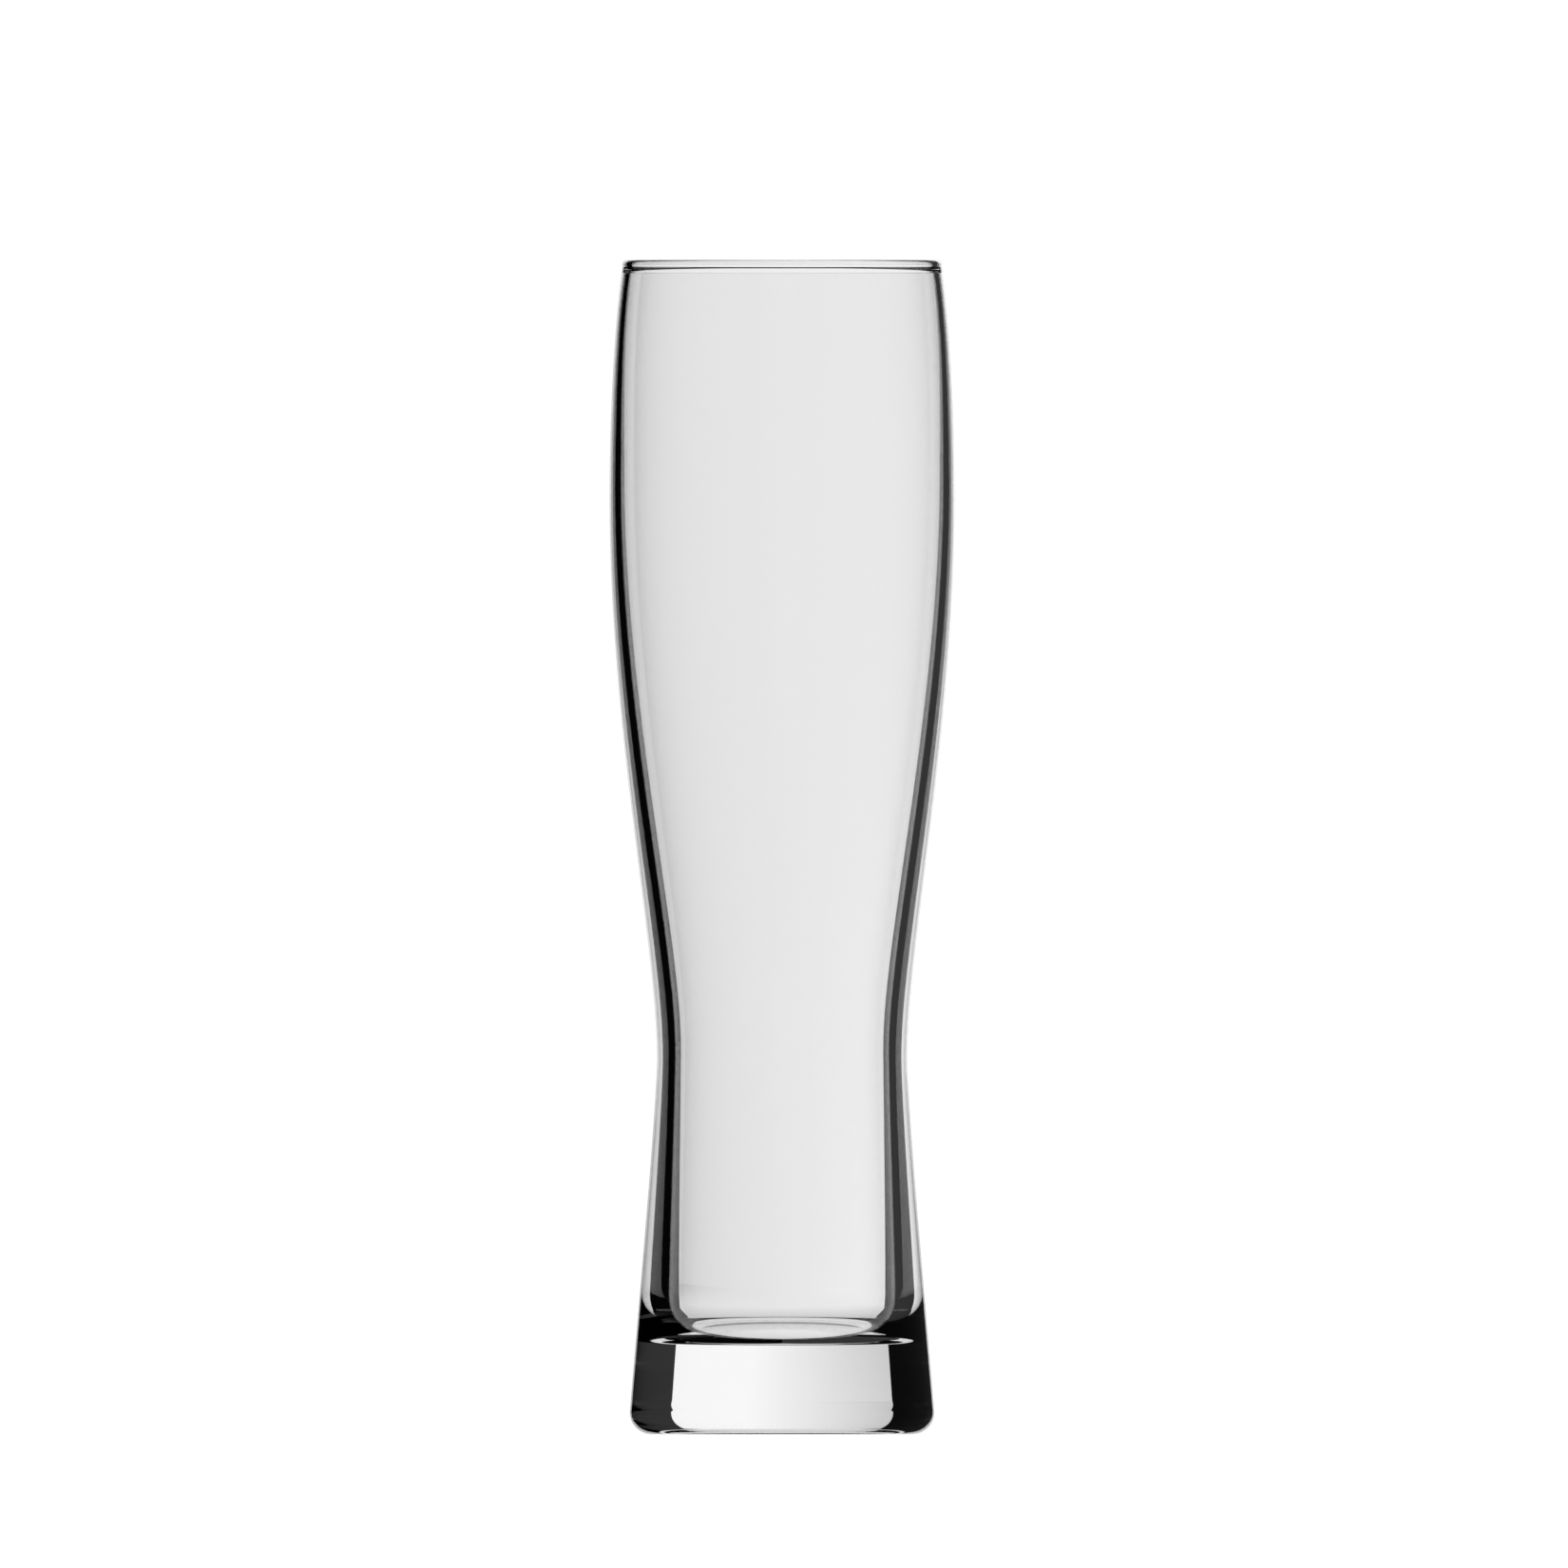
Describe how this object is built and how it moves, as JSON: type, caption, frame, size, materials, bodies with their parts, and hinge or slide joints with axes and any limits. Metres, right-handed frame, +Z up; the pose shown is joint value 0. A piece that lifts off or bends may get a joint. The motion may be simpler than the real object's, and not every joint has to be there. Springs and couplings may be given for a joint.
{
  "type": "weizen glass",
  "caption": "Tall clear beer glass for wheat beer, with a bulging mouth, a narrow waist and a heavy flared foot.",
  "frame": {"origin": "on the table under the middle of the foot, where the glass's axis meets the plane it stands on", "axes": "+Z up the axis of the glass towards its mouth; X and Y lie in the table, and the glass looks the same from every side"},
  "size_m": [0.075, 0.075, 0.255],
  "materials": {
    "bowl_glass": "clear soda-lime glass, blown and fire polished, smooth and colourless",
    "foot_glass": "clear soda-lime glass, pressed solid, smooth, a trace of grey-green in its depth"
  },
  "bodies": {
    "root": {"bowl": "bowl_glass", "foot": "foot_glass"}
  },
  "joints": []
}
